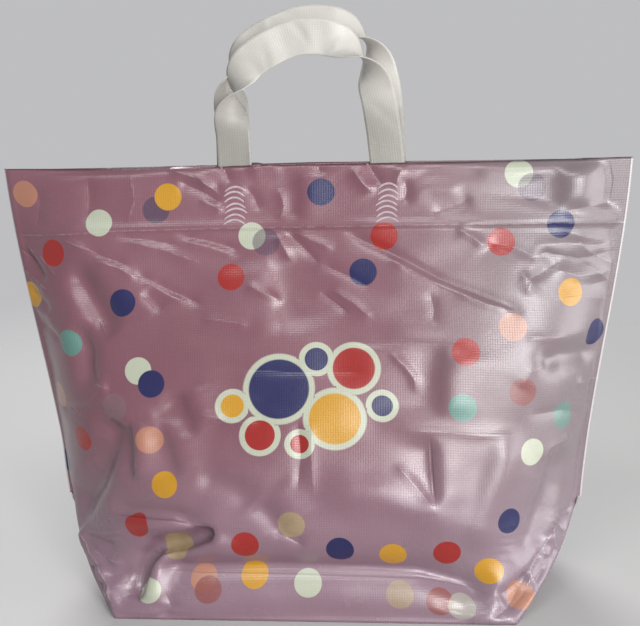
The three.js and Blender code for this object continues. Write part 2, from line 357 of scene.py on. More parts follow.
# The folds of the front. A row is a fold's line of pixels, its height and its width, and, where they
# aren't the usual ones, its step, whether it is sharp, and its taper.
LOW_FOLDS = [Crease(*row) for row in (
    # the buckle that runs above the floor, and its ends at the corners
    ([(150, 566), (200, 571), (330, 574), (420, 577), (465, 585), (496, 598)], -22, 14, 0, True, 0.08),
    ([(213, 527), (207, 539), (183, 549), (157, 553), (149, 562), (143, 580), (137, 603)],
     -9, 5.5, 4.5, True, 0.12),
    ([(496, 598), (517, 583), (531, 570)], -4, 6, 2),
    # the folded sheets of film over the left corner
    ([(106, 511), (140, 516), (172, 519), (214, 527)], -2.2, 5, -2.2),
    ([(164, 590), (172, 606), (160, 619)], -1.5, 5),
    ([(79, 530), (94, 560), (107, 584), (115, 612)], 3.2, 5, 1.5, True, 0.1),
    ([(84, 532), (100, 541), (118, 547)], -1.3, 4), ([(83, 530), (103, 533), (128, 530)], 1.2, 4),
    ([(92, 568), (103, 564)], -1.6, 3), ([(97, 577), (107, 573)], 1.6, 3),
    ([(99, 587), (110, 582)], -1.6, 3), ([(103, 597), (113, 591)], 1.6, 3),
    ([(106, 607), (116, 601)], -1.5, 3), ([(108, 576), (132, 570)], -1.6, 4),
    ([(112, 588), (134, 581)], 1.6, 4), ([(116, 600), (132, 594)], -1.5, 4),
    ([(90, 548), (110, 560), (126, 564)], 1.5, 5), ([(84, 536), (102, 554), (116, 568)], -1.6, 4),
    # the dents above them
    ([(258, 498), (273, 515), (286, 536)], -4, 11, 2.0, False),
    ([(272, 531), (286, 536), (306, 548)], -2, 5),
    ([(112, 412), (104, 448), (92, 480), (78, 509)], -13, 14, 0, False, 0.15),
    ([(127, 420), (131, 450), (131, 484)], -2.0, 7, 3.0),
    ([(161, 421), (172, 450), (181, 482)], -0.6, 9, 2.6, False),
    ([(181, 388), (188, 412), (198, 436)], -0.8, 9, 2.8, False),
    ([(181, 391), (166, 412), (150, 421)], -1.6, 7, 0, False),
    ([(50, 406), (84, 408), (124, 411)], -1.5, 4), ([(190, 412), (230, 421), (262, 424)], 1.0, 6),
    ([(196, 470), (235, 486), (262, 506)], -3, 12, 1.0, False),
)]
MIDDLE_FOLDS = [Crease(*row) for row in (
    ([(298, 418), (301, 455), (297, 492)], -1.6, 3.5), ([(312, 420), (311, 450), (314, 500)], 0.8, 4),
    ([(392, 430), (440, 432), (484, 436), (526, 433)], 0.8, 3.5),
    ([(430, 433), (432, 470), (436, 512)], -3.2, 8, 2.4), ([(394, 462), (417, 488), (438, 516)], 1.2, 6),
    ([(310, 492), (380, 494), (430, 514), (480, 530)], 5, 18, 0, False),
    ([(516, 424), (502, 468), (484, 520), (474, 556)], 6, 14, 0, False),
    ([(564, 436), (552, 484), (532, 536), (520, 566)], -7, 14, 0, False),
    ([(598, 413), (560, 410), (524, 416)], -1.0, 5), ([(572, 436), (552, 446), (540, 462)], 1.2, 5),
    ([(340, 343), (400, 343), (470, 344)], -0.7, 3.5),
    ([(446, 340), (440, 380), (441, 424)], 0, 13, 2.6, False),
    ([(266, 250), (276, 300), (284, 340)], 0, 16, -2.4, False),
    ([(389, 352), (405, 366), (415, 380), (416, 396)], 1.2, 3.5),
    ([(216, 368), (300, 372), (380, 371)], -0.6, 4), ([(76, 318), (84, 350), (84, 392)], -8, 11, 0, False),
    ([(94, 380), (101, 388), (108, 388)], 1.8, 4),
    ([(70, 262), (88, 292), (104, 322), (116, 338)], -9, 12, 0, False),
    ([(140, 292), (154, 306), (160, 314)], -1.0, 5, -0.6), ([(98, 318), (106, 333)], 1.2, 4),
)]
# the crumpled right corner
RIGHT_CORNER_FOLDS = [Crease(*row) for row in (
    ([(550, 538), (528, 573), (509, 606), (492, 620)], -2.4, 3.5, 0, True, 0.1),
    ([(566, 532), (545, 560), (522, 596), (506, 612)], -1.4, 3, 0, True, 0.1),
    ([(556, 520), (548, 540), (540, 556)], 2.6, 5), ([(549, 530), (556, 545), (560, 552)], 1.6, 4),
    ([(558, 519), (566, 532)], -1.6, 4), ([(540, 552), (552, 556)], 1.6, 4),
    ([(572, 506), (560, 516)], -1.5, 4), ([(533, 572), (526, 590)], 1.4, 4),
    ([(545, 563), (536, 584)], -1.2, 4), ([(430, 605), (470, 612), (500, 607)], -0.8, 4),
)]
# the puckered film just below the hem
HEM_FOLDS = [Crease(*row) for row in (
    ([(16, 240), (34, 262), (48, 284)], -2.0, 4, 0.8), ([(20, 268), (36, 280), (50, 292)], 1.4, 4),
    ([(24, 286), (38, 296), (52, 312)], -1.4, 4), ([(30, 306), (44, 314), (56, 322)], 1.2, 4),
    ([(34, 322), (48, 330), (62, 344)], -1.2, 4), ([(22, 243), (40, 256), (58, 278)], 1.2, 4),
    ([(60, 238), (82, 248), (100, 255)], 1.3, 3.5), ([(80, 244), (102, 256), (130, 266)], -1.4, 3.5),
    ([(92, 260), (116, 267), (140, 280)], 1.3, 3.5), ([(130, 270), (165, 288), (205, 306)], -1.4, 4),
    ([(140, 278), (170, 296), (192, 304)], 1.2, 3.5), ([(120, 240), (160, 249), (204, 264)], 0.9, 4),
    ([(112, 236), (150, 240), (184, 246)], -0.9, 3.5), ([(172, 234), (206, 240), (242, 250)], -1.3, 3.5),
    ([(180, 240), (212, 248), (240, 258)], 1.0, 3.5), ([(244, 284), (262, 292), (284, 303)], 1.2, 3.5),
    ([(200, 318), (230, 322), (252, 326)], 0.7, 5), ([(284, 230), (300, 244), (320, 264)], -1.2, 3.5),
    ([(292, 230), (312, 240), (336, 250)], 1.0, 3.5), ([(276, 232), (283, 246), (292, 262)], 1.0, 3.5),
    ([(318, 262), (345, 274), (372, 288)], -0.9, 4), ([(330, 288), (352, 302), (374, 320)], 0.9, 4),
    ([(318, 290), (335, 302), (350, 314)], -0.8, 4),
    ([(340, 230), (388, 251), (442, 280), (528, 314)], -1.8, 4, 0, True, 0.12),
    ([(384, 256), (430, 281), (486, 304), (520, 312)], 1.8, 4, 0, True, 0.15),
    ([(394, 260), (440, 288), (470, 300)], -1.2, 4), ([(456, 228), (474, 238), (488, 250)], 1.5, 5),
    ([(486, 242), (510, 246), (540, 258)], -1.2, 4), ([(430, 290), (434, 310), (432, 330)], -0.9, 6),
)]
RIGHT_SIDE_FOLDS = [Crease(*row) for row in (
    ([(524, 262), (545, 252), (580, 258), (622, 250)], -1.1, 4, 0.5),
    ([(530, 246), (566, 243), (600, 246), (624, 236)], 0.9, 3.5),
    ([(556, 228), (580, 236), (620, 243)], -0.8, 3.5), ([(572, 236), (590, 252), (618, 266)], 1.0, 3.5),
    ([(540, 266), (580, 276), (616, 270)], 1.0, 3.5), ([(526, 282), (546, 270), (562, 260)], -1.6, 6),
    ([(560, 282), (590, 286), (614, 278)], -0.8, 4), ([(525, 296), (532, 282), (520, 274)], 1.2, 5),
    ([(580, 262), (596, 270), (616, 284)], 0.9, 3.5), ([(552, 300), (584, 296), (610, 300)], 0.6, 6),
    ([(524, 340), (545, 338), (568, 336)], 1.0, 3.5),
    ([(532, 368), (562, 356), (602, 349)], -6, 10, 0, False),
    ([(520, 390), (530, 372), (548, 362)], 1.2, 6), ([(576, 384), (590, 378), (602, 380)], 1.0, 4),
    ([(560, 166), (564, 190), (560, 212)], 0, 14, 3.0, False),
    ([(590, 162), (594, 186), (588, 210)], 0, 12, -2.4, False),
    ([(608, 158), (612, 180), (608, 206)], -1.8, 6), ([(560, 212), (590, 206), (624, 200)], -1.2, 6),
)]
# the pull of the welds on the hem
WELD_FOLDS = [Crease(*row) for row in (
    ([(168, 170), (198, 178), (222, 196)], 2.0, 5), ([(176, 180), (204, 192), (222, 204)], -1.8, 5),
    ([(200, 200), (214, 206), (224, 212)], 1.1, 3.5), ([(206, 190), (222, 188)], -1.0, 3.5),
    ([(218, 164), (226, 172), (230, 184)], -1.4, 4), ([(244, 186), (254, 196), (260, 212)], -1.0, 4),
    ([(246, 172), (262, 166), (284, 162)], 1.4, 5),
    ([(296, 168), (300, 196), (297, 224)], 0, 10, 1.3, False),
    ([(278, 186), (284, 206), (280, 222)], 1.0, 5), ([(318, 160), (320, 176)], -1.2, 4),
    ([(366, 160), (374, 174), (382, 186)], -1.6, 4), ([(352, 168), (362, 182), (374, 194)], 1.8, 5),
    ([(404, 164), (398, 178), (396, 188)], 1.2, 4), ([(402, 176), (408, 190), (402, 206)], -1.2, 4),
    ([(404, 196), (430, 188), (466, 192)], 1.4, 7, 0, False),
    ([(410, 172), (450, 170), (490, 172)], -1.4, 7, 0, False),
    ([(430, 214), (460, 204), (474, 196)], -1.1, 5), ([(88, 176), (90, 200), (86, 226)], -1.0, 7),
    ([(36, 182), (40, 204), (36, 230)], -1.0, 6), ([(130, 170), (134, 200), (126, 226)], 0.8, 9),
)]
# the hem's free edge, which shows through the panel
HEM_EDGE = Crease([(14, 235), (120, 231), (240, 228), (397, 225.5), (560, 223), (629, 223)],
                  0.9, 2.6, 0.5, taper=0.0)
FRONT_CREASES = LOW_FOLDS + MIDDLE_FOLDS + RIGHT_CORNER_FOLDS + HEM_FOLDS + RIGHT_SIDE_FOLDS + WELD_FOLDS
FRONT_CREASES += [HEM_EDGE]


def other_way_round(crease, lower):
    """The same fold from the other end of the panel, moved down by some pixels."""
    pixels = [(IMAGE_WIDTH - x, y + lower) for x, y in crease.pixels]
    return Crease(pixels, crease.height, crease.width, -crease.step, crease.sharp, crease.taper)


REAR_CREASES = [other_way_round(crease, 0) for crease in LOW_FOLDS[:1] + HEM_FOLDS[::2] + WELD_FOLDS[:8]]
REAR_CREASES += [other_way_round(crease, 6) for crease in MIDDLE_FOLDS[::-1] + RIGHT_SIDE_FOLDS]
REAR_CREASES += [HEM_EDGE]


# Relaxing the film

FOLD_SHARPNESS = 0.75  # share of the narrow folds' height that is given back after the film is relaxed
NARROW = 8.0  # width below which a fold is narrow
PULL, HEM_PULL = 0.09, 0.10  # how strongly the film is drawn to its target, and how much more in the hem
HEM_PULL_REACH = 40.0
MOUTH_FREEDOM = 0.3  # how freely the mouth's row moves
PINNED_EDGE = 0.6  # film this near a seam or a corner's fold doesn't move
STAGES = ((4, 260, 0.25), (2, 160, 0.2), (1, 110, 0.15))  # grid stride, rounds and stiffness against bends
PRESS = 0.35  # how far a pressed pair is let out, where a stretched one is drawn in all the way
DIAGONAL_STRETCH, DIAGONAL_PRESS = 0.6, 0.2


def settle(near, far, near_free, far_free, length, stretched, pressed):
    """Moves pairs of points towards their flat distance."""
    apart = far - near
    distance = np.sqrt((apart**2).sum(-1, keepdims=True)) + 1e-9
    wrong = (distance - length) / distance
    share = wrong * np.where(wrong > 0, stretched, pressed) / (near_free + far_free + 1e-9)
    near += share * near_free * apart
    far -= share * far_free * apart


def pairs(points, free, rows, columns, phase):
    """The near and far ends of every other pair of grid points that lie (rows, columns) apart."""
    height, width = points.shape[:2]
    top, bottom = slice(0, height - rows), slice(rows, height)
    if columns >= 0:
        left, right = slice(0, width - columns), slice(columns, width)
    else:
        left, right = slice(-columns, width), slice(0, width + columns)
    every = slice(phase, None, 2 * max(rows, abs(columns)))
    pick = (every, slice(None)) if rows else (slice(None), every)
    return [array[where][pick] for array in (points, free) for where in ((top, left), (bottom, right))]


def relax(points, target, free, pull, u, v, rounds, bend):
    """Gives a grid of film its flat lengths, while it is drawn gently to the target. Points two apart are
    only pushed, which works against bends, and neighbours are pushed and pulled."""
    du = np.abs(np.diff(u)).mean()
    dv = np.abs(np.diff(v)).mean()
    spreads = ((2, (0, 2, 1, 3), 0.0, bend), (1, (0, 1), 1.0, PRESS))
    for _ in range(rounds):
        points += pull * free * (target - points)
        for spread, phases, stretched, pressed in spreads:
            for phase in phases:
                for rows, columns, length in ((0, spread, spread * du), (spread, 0, spread * dv)):
                    settle(*pairs(points, free, rows, columns, phase), length, stretched, pressed)
        for phase in (0, 1):
            for columns in (1, -1):
                ends = pairs(points, free, 1, columns, phase)
                settle(*ends, math.hypot(du, dv), DIAGONAL_STRETCH, DIAGONAL_PRESS)


def film_normals(points):
    """The direction out of the film at each point of a grid."""
    across = np.gradient(points, axis=1)
    along = np.gradient(points, axis=0)
    normals = np.cross(across, -along)
    return normals / (np.linalg.norm(normals, axis=-1, keepdims=True) + 1e-9)


def widened(change, rows, columns):
    """A coarse grid's values, spread over a finer one."""
    old_rows, old_columns = np.linspace(0, 1, change.shape[0]), np.linspace(0, 1, change.shape[1])
    new_rows, new_columns = np.linspace(0, 1, rows), np.linspace(0, 1, columns)
    wide = np.stack([[np.interp(new_columns, old_columns, line) for line in change[..., axis]]
                     for axis in range(3)], -1)
    return np.stack([np.array([np.interp(new_rows, old_rows, wide[:, c, axis])
                               for c in range(columns)]).T for axis in range(3)], -1)


def row_reach(v):
    """How far each row of a panel reaches from the middle to its seam or corner's fold."""
    return np.where(v < GUSSET_HALF, BASE_HALF + v, SEAM_HALF)[:, None]


def settle_panel(u, v, smooth_panel, target):
    """The front panel's film, relaxed on a coarse, a middle and a fine grid in turn."""
    free = (np.abs(u) < row_reach(v) - PINNED_EDGE).astype(float)
    free[-1] = 0
    free[0] *= MOUTH_FREEDOM
    pull = np.full(free.shape, PULL)
    pull += HEM_PULL * smooth(v, PANEL_HEIGHT - HEM_PULL_REACH, PANEL_HEIGHT)[:, None]
    change = None
    for stride, rounds, bend in STAGES:
        pick = (slice(None, None, stride), slice(None, None, stride))
        goal = target[pick]
        points = goal.copy() if change is None else goal + widened(change, *goal.shape[:2])
        pinned = free[pick] == 0
        points[pinned] = smooth_panel[pick][pinned]
        loose, drawn = free[pick][..., None], pull[pick][..., None]
        relax(points, goal, loose, drawn, u[::stride], v[::stride], rounds, bend)
        change = points - goal
    return points


# The whole web

HEM_FILM_GAP = 1.5 * LAYER_GAP
HEM_FILM_SHARE = 0.6  # share of the way to the bag's middle plane that the hem's inner film may take
LARGE_CRUMPLE = (2.6, (90, 60))  # height, and length across and up
SMALL_CRUMPLE = (0.7, (30, 20))
HEM_CALM = 0.7  # how much weaker they are in the hem
CALM_EDGE = 6.0  # how near a seam or the bottom fold the narrow folds fade


def side_gap(u):
    """How far the front film keeps from the bag's middle plane, so that it never meets the rear film."""
    return LAYER_GAP / 2 + SEAM_OPENING * np.maximum(0, SEAM_HALF - np.abs(u))


def part_from_rear(laid, u, v):
    """Keeps the film of the front panel in front of the bag's middle plane."""
    seam = v >= GUSSET_HALF
    flange = np.abs(u) > SEAM_HALF - 0.1
    laid[np.ix_(seam, flange)] -= [0, LAYER_GAP / 2, 0]
    panel = np.ix_(seam, ~flange, [1])
    laid[panel] = np.minimum(laid[panel], -side_gap(u)[~flange][:, None])


def panel_with_flaps(u, v, creases, seed, rear):
    """Points of the front panel, its side flanges and the outer film of its corner flaps."""
    laid = np.array([lay_row(height, u, rear) for height in v])
    inner = slice(FLANGE_COLUMNS, -FLANGE_COLUMNS)
    smooth_panel = laid[:, inner]
    relief = crease_relief(creases, u[inner], v, smooth_panel) + crumple(u[inner], v, seed)
    target = smooth_panel + relief[..., None] * film_normals(smooth_panel)
    settled = settle_panel(u[inner], v, smooth_panel, target)
    narrow = [crease for crease in creases if crease.sharp and crease.width < NARROW]
    fine = crease_relief(narrow, u[inner], v, smooth_panel)
    inside = smooth(row_reach(v) - np.abs(u[inner]), 0, CALM_EDGE) * smooth(v, 0, CALM_EDGE)[:, None]
    laid[:, inner] = settled + FOLD_SHARPNESS * (inside * fine)[..., None] * film_normals(settled)
    part_from_rear(laid, u, v)
    laid[..., 2] = np.maximum(laid[..., 2], FLOOR_GAP)
    return laid


def value_noise(u, v, size, seed):
    """Smooth noise of about -1 to 1 on the flat film, with lumps of the given size."""
    draws = np.random.default_rng(seed)
    columns = int(2 * BAG_HALF / size[0]) + 4
    rows = int(PANEL_HEIGHT / size[1]) + 4
    lattice = draws.uniform(-1, 1, (rows, columns))
    x, y = (u + BAG_HALF) / size[0], v / size[1]
    column, row = np.floor(x).astype(int), np.floor(y).astype(int)
    a, b = smooth(x - column, 0, 1)[None, :], smooth(y - row, 0, 1)[:, None]
    near, far = [lattice[np.ix_(line, column)] * (1 - a) + lattice[np.ix_(line, column + 1)] * a
                 for line in (row, row + 1)]
    return near * (1 - b) + far * b


def crumple(u, v, seed):
    """Small unevenness all over a panel, weaker in the hem."""
    large, small = [height * value_noise(u, v, size, seed + step)
                    for step, (height, size) in enumerate((LARGE_CRUMPLE, SMALL_CRUMPLE))]
    hem = PANEL_HEIGHT - HEM_DEPTH
    calm = 1 - HEM_CALM * smooth(v, hem - 5, hem + 10)
    return (large + small) * calm[:, None]


def hem_layer(panel, u):
    """The turned-in film behind a panel's top rows, from its free edge up to just below the fold."""
    normals = film_normals(panel)
    gap = np.minimum(HEM_FILM_GAP, HEM_FILM_SHARE * side_gap(u))[:, None]
    return np.array([panel[row] - normals[row] * gap for row in range(HEM_ROWS, 0, -1)])


def turned_round(points):
    """The same film on the rear of the bag: turned half round the upright axis."""
    return points[:, ::-1] * [-1, -1, 1]


def lay_web(u, v):
    """Points and flat coordinates of the whole web, from the front hem's free edge to the rear one's."""
    front = panel_with_flaps(u, v, FRONT_CREASES, FRONT_SEED, rear=False)
    rear = turned_round(panel_with_flaps(u, v, REAR_CREASES, REAR_SEED, rear=True))
    gusset_w = np.linspace(-GUSSET_HALF, GUSSET_HALF, GUSSET_ROWS + 1)[1:-1]
    gusset = np.array([lay_gusset_row(w, u) for w in gusset_w])
    front_hem = hem_layer(front, u)
    rear_hem = turned_round(hem_layer(turned_round(rear), u))
    points = np.concatenate([front_hem, front, gusset, rear[::-1], rear_hem[::-1]])
    hem_s = -v[0] + v[HEM_ROWS:0:-1]
    front_s = PANEL_HEIGHT - v
    gusset_s = PANEL_HEIGHT + GUSSET_HALF + gusset_w
    rear_s = PANEL_HEIGHT + 2 * GUSSET_HALF + v[::-1]
    rear_hem_s = 2 * (PANEL_HEIGHT + GUSSET_HALF) + (PANEL_HEIGHT - v[1:HEM_ROWS + 1])
    s = np.concatenate([hem_s, front_s, gusset_s, rear_s, rear_hem_s])
    return points, s, front, rear


def grid_faces(rows, columns):
    index = np.arange(rows * columns).reshape(rows, columns)
    return np.stack([index[:-1, :-1], index[1:, :-1], index[1:, 1:], index[:-1, 1:]], -1).reshape(-1, 4)


def mesh_object(name, points, faces):
    mesh = bpy.data.meshes.new(name)
    mesh.from_pydata((points.reshape(-1, 3) * MM).tolist(), [], faces.tolist())
    mesh.shade_smooth()
    made = bpy.data.objects.new(name, mesh)
    bpy.context.scene.collection.objects.link(made)
    return made


def add_flat_map(made, name, corners):
    """A UV map from the values at each face's corners."""
    layer = made.data.uv_layers.new(name=name)
    layer.data.foreach_set("uv", np.ascontiguousarray(corners, dtype=np.float32).ravel())


# The print: discs of ink, placed by pixels of the photograph. The other colours are with the materials.

INKS = {
    "red": (150, 16, 5), "yellow": (192, 139, 10), "navy": (2, 2, 74), "white": (180, 184, 164),
    "teal": (88, 130, 120), "orange": (184, 126, 96), "purple": (70, 48, 74),
    "muted_red": (134, 68, 64), "pale_yellow": (162, 142, 100), "ghost": (124, 108, 110),
}
DOT_DIAMETER = 23.85
INK_REACH = 4.0  # how near a disc's edge a face has to be to hold its place from it
FAR_AWAY = 5.0  # the place, in radii, that the other faces hold


def linear(colour):
    """A colour out of 255 as it is seen, turned into amounts of light."""
    c = np.array(colour) / 255
    return np.where(c <= 0.04045, c / 12.92, ((c + 0.055) / 1.055) ** 2.4)


class Dot:
    """A disc of ink. x and y are pixels of the photograph, nudge moves it on the flat film, and size is
    its share of the usual diameter. over prints it above the others."""

    def __init__(self, x, y, ink, size=1.0, strength=1.0, over=False, nudge=(0, 0)):
        self.x, self.y, self.ink, self.size = x, y, ink, size
        self.strength, self.over, self.nudge = strength, over, nudge


FRONT_DOTS = [
    Dot(25, 194, "orange", strength=0.75), Dot(53, 253, "red"), Dot(34, 294, "yellow"),
    Dot(69, 343, "teal"), Dot(62, 395, "orange", nudge=(-6, 0), strength=0.8), Dot(99, 223, "white"),
    Dot(156, 210, "purple", strength=0.85), Dot(168, 197, "yellow", over=True), Dot(122, 303, "navy"),
    Dot(138, 371, "white"), Dot(151, 384, "navy", over=True), Dot(114, 407, "ghost", strength=0.35),
    Dot(82, 438, "red", 0.95), Dot(150, 440, "orange", strength=0.75), Dot(164, 485, "yellow"),
    Dot(69, 463, "navy", nudge=(-11, 0)), Dot(136, 526, "red"), Dot(181, 542, "pale_yellow", strength=0.8),
    Dot(146, 590, "white"), Dot(204, 577, "orange", strength=0.85),
    Dot(208, 590, "muted_red", over=True, strength=0.85), Dot(245, 545, "red"), Dot(255, 574, "yellow"),
    Dot(291, 525, "pale_yellow", strength=0.75), Dot(308, 583, "white"), Dot(340, 550, "navy"),
    Dot(393, 555, "yellow"), Dot(400, 595, "pale_yellow", strength=0.6), Dot(447, 553, "red"),
    Dot(440, 602, "muted_red", strength=0.85), Dot(462, 607, "white", over=True, strength=0.45),
    Dot(489, 571, "yellow"), Dot(521, 597, "orange", strength=0.8), Dot(509, 521, "navy"),
    Dot(532, 452, "white"), Dot(559, 483, "ghost", strength=0.3), Dot(563, 415, "teal", strength=0.8),
    Dot(463, 408, "teal"), Dot(523, 392, "muted_red", strength=0.75), Dot(466, 352, "red"),
    Dot(513, 327, "orange", strength=0.7), Dot(597, 331, "navy", nudge=(-4, 0)),
    Dot(571, 292, "yellow", strength=0.9),
    Dot(561, 224, "navy"), Dot(501, 242, "red"), Dot(384, 236, "red"), Dot(519, 173, "white"),
    Dot(532, 187, "purple", over=True, strength=0.6), Dot(321, 192, "navy"), Dot(363, 272, "navy"),
    Dot(231, 277, "red"), Dot(252, 236, "white"), Dot(266, 242, "purple", over=True, strength=0.6),
]

# A plain cluster of discs on a white ground, in the middle of the panel: place, radius and ink
MOTIF_PIXEL = (309, 398)
MOTIF_RIM = 5.0
MOTIF = [
    ((-26, 8), 26, "navy"), ((22, -18), 22, "yellow"), ((38, 26), 18, "red"), ((6, 34), 10, "navy"),
    ((-42, -32), 13, "red"), ((-66, -6), 10, "yellow"), ((62, -6), 9, "navy"), ((-8, -40), 8, "red"),
]

# Dots of the gusset, which the photograph doesn't show: u, w and ink
GUSSET_STRENGTH = 0.95
GUSSET_DOTS = [
    (-140, -40, "red"), (-96, 30, "yellow"), (-52, -22, "navy"), (-8, 44, "teal"), (34, -50, "white"),
    (78, 12, "orange"), (122, -34, "navy"), (160, 40, "red"), (-170, 52, "white"), (200, -12, "teal"),
    (-206, 8, "orange"), (232, 30, "yellow"), (-238, -24, "navy"),
]


def on_front_and_rear(u, v):
    """The place (u, s) on the web of a place on the front panel, and of the same place on the rear one."""
    return (u, PANEL_HEIGHT - v), (-u, PANEL_HEIGHT + 2 * GUSSET_HALF + v)


def printed_discs(u, v, front):
    """Discs of the lower and the upper layer of ink, as (u, s, radius, ink, strength)."""
    under, over = [], []
    for dot in FRONT_DOTS:
        place = flat_coordinates((dot.x, dot.y), u, v, front)[0] + dot.nudge
        for spot in on_front_and_rear(*place):
            disc = (*spot, DOT_DIAMETER / 2 * dot.size, dot.ink, dot.strength)
            (over if dot.over else under).append(disc)
    middle = flat_coordinates(MOTIF_PIXEL, u, v, front)[0]
    for place, radius, ink in MOTIF:
        for side, (at_u, at_s) in zip((1, -1), on_front_and_rear(*middle)):
            spot = at_u + side * place[0], at_s - side * place[1]
            under.append((*spot, radius + MOTIF_RIM, "white", 1.0))
            over.append((*spot, radius, ink, 1.0))
    for at_u, at_w, ink in GUSSET_DOTS:
        under.append((at_u, PANEL_HEIGHT + GUSSET_HALF + at_w, DOT_DIAMETER / 2, ink, GUSSET_STRENGTH))
    return under, over


def print_layer(made, name, discs, corners):
    """Each face near a disc holds its place from the disc's middle, in radii, and the disc's ink."""
    middles = corners.mean(1)
    centres = np.array([disc[:2] for disc in discs])
    radii = np.array([disc[2] for disc in discs])
    inks = np.array([[*linear(INKS[disc[3]]), disc[4]] for disc in discs])
    edge = np.linalg.norm(middles[:, None] - centres[None], axis=-1) - radii
    nearest = np.argmin(edge, 1)
    close = edge.min(1) < INK_REACH
    offset = (corners - centres[nearest][:, None]) / radii[nearest][:, None, None]
    offset[~close] = FAR_AWAY
    add_flat_map(made, name + "_place", offset)
    colour = np.repeat(np.where(close[:, None], inks[nearest], 0), 4, axis=0)
    layer = made.data.color_attributes.new(name=name + "_ink", type="FLOAT_COLOR", domain="CORNER")
    layer.data.foreach_set("color", colour.astype(np.float32).ravel())


FULL_RISE = 3.0  # rise from which a sharp crease shows in full
LEAST_SHOW = 0.35
LEAST_TAPER = 0.01
NO_CREASE = (9.0, 0.0)  # the distance and the strength that faces away from all creases hold


def crease_lines(u, v, front, rear):
    """Lines of the sharp creases on the web's flat coordinates, each with its strength and its taper."""
    lines = []
    for creases, panel, turn in ((FRONT_CREASES, front, 1), (REAR_CREASES, turned_round(rear), -1)):
        start = PANEL_HEIGHT if turn > 0 else PANEL_HEIGHT + 2 * GUSSET_HALF
        for crease in creases:
            if crease.sharp:
                line = flat_coordinates(crease.pixels, u, v, panel)
                line = np.stack([turn * line[:, 0], start - turn * line[:, 1]], -1)
                show = np.clip((abs(crease.height) + abs(crease.step)) / FULL_RISE, LEAST_SHOW, 1.0)
                lines.append((line, show * np.sign(crease.height), crease.taper))
    return lines


def crease_layer(made, lines, corners):
    """Each face near a sharp crease holds its distance across the crease and the crease's strength."""
    middles = corners.mean(1)
    nearest = np.full(len(middles), CREASE_REACH)
    place = np.tile(NO_CREASE, (len(middles), 4, 1))
    for line, strength, taper in lines:
        low, high = line.min(0) - CREASE_REACH, line.max(0) + CREASE_REACH
        index = np.flatnonzero(((middles > low) & (middles < high)).all(1))
        if not len(index):
            continue
        gap = distance_to_line(middles[index][:, None], line)[0][:, 0]
        closer = gap < nearest[index]
        index = index[closer]
        nearest[index] = gap[closer]
        distance, side, along = distance_to_line(corners[index], line)
        fade = end_fade(along, max(taper, LEAST_TAPER))
        place[index] = np.stack([distance * side, strength * fade], -1)
    add_flat_map(made, "crease_place", place)


def make_film(u, v):
    points, s, front, rear = lay_web(u, v)
    faces = grid_faces(len(s), len(u))
    film = mesh_object("bag_film", points, faces)
    flat = np.stack(np.meshgrid(u, s), -1).reshape(-1, 2)
    corners = flat[faces]
    add_flat_map(film, "flat", corners * MM)
    under, over = printed_discs(u, v, front)
    print_layer(film, "under", under, corners)
    print_layer(film, "over", over, corners)
    crease_layer(film, crease_lines(u, v, front, rear), corners)
    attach(film, "root")
    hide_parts("bag_body")
    return film, front, rear


# The handles

STRAP_WIDTH = 30.0
STRAP_HALF_THICKNESS = 0.3
STRAP_TUCK = 46.0  # length behind the hem
STRAP_PITCH = 1.6
STRAP_COLUMNS = 14
STRAP_CURL = 1.0  # how far the middle stands out of the edges
CURL_FROM, CURL_TO = 4, 40  # heights above the mouth over which the curl sets in
STRAP_SAMPLES = 900
BLUR_REACH = 30  # samples to each side over which the strap's line is rounded
WELD_ROOM = 0.5  # between a strap's end and the hem's inner film
LOOSE_FROM, LOOSE_TO = 0, 40  # heights above the mouth over which a strap leaves the film's shape
STRAP_SEEDS = {"front": 7, "rear": 9}
STRAP_WRINKLES = 14
WRINKLE_MARGIN = 55.0  # how far from a strap's ends they keep
WRINKLE_REACH = 12.0  # half of a wrinkle's length
WRINKLES_FROM, WRINKLES_TO = 2, 20  # heights above the mouth over which they set in
LEG_PLACE = {"front": (-65.0, 67.5), "rear": (-67.0, 68.0)}  # middle of each leg at the mouth
LEAN = {"front": 3.0, "rear": 14.0}  # degrees off the upright, towards +Y
REAR_EXTRA_RISE, REAR_SPREAD = 16.0, 1.04
# The front handle's middle line above the mouth, across and up, and where it turns over: the distance
# along it from the mouth, at each leg, and how far the turn reaches
STRAP_SPINE = [
    (-65.5, 26), (-67.5, 46), (-65.5, 60), (-59, 76), (-50, 87), (-39, 94.5), (-21, 103), (-7, 107),
    (11, 107), (27, 103.5), (38, 97.5), (49, 88), (56, 74), (61.7, 50), (65, 26)]
TURNS = {"left": (60.0, 34.0), "right": (92.0, 38.0)}


def rounded(line):
    """A finely sampled line with its corners rounded and its ends where they were."""
    blur = np.exp(-np.linspace(-2, 2, 2 * BLUR_REACH + 1) ** 2)
    blur /= blur.sum()
    before = 2 * line[:1] - line[BLUR_REACH:0:-1]
    after = 2 * line[-1:] - line[-2:-2 - BLUR_REACH:-1]
    padded = np.concatenate([before, line, after])
    return np.stack([np.convolve(padded[:, axis], blur, "valid") for axis in (0, 1)], -1)


def strap_turn(stations, more):
    """How far a strap has turned over at each station, a half turn at each leg."""
    turned = 0
    for leg, distance in (("left", stations), ("right", stations[-1] - stations)):
        middle, reach = TURNS[leg]
        turned = turned + 1 - smooth(distance - STRAP_TUCK - more, middle - reach, middle + reach)
    return np.pi * turned


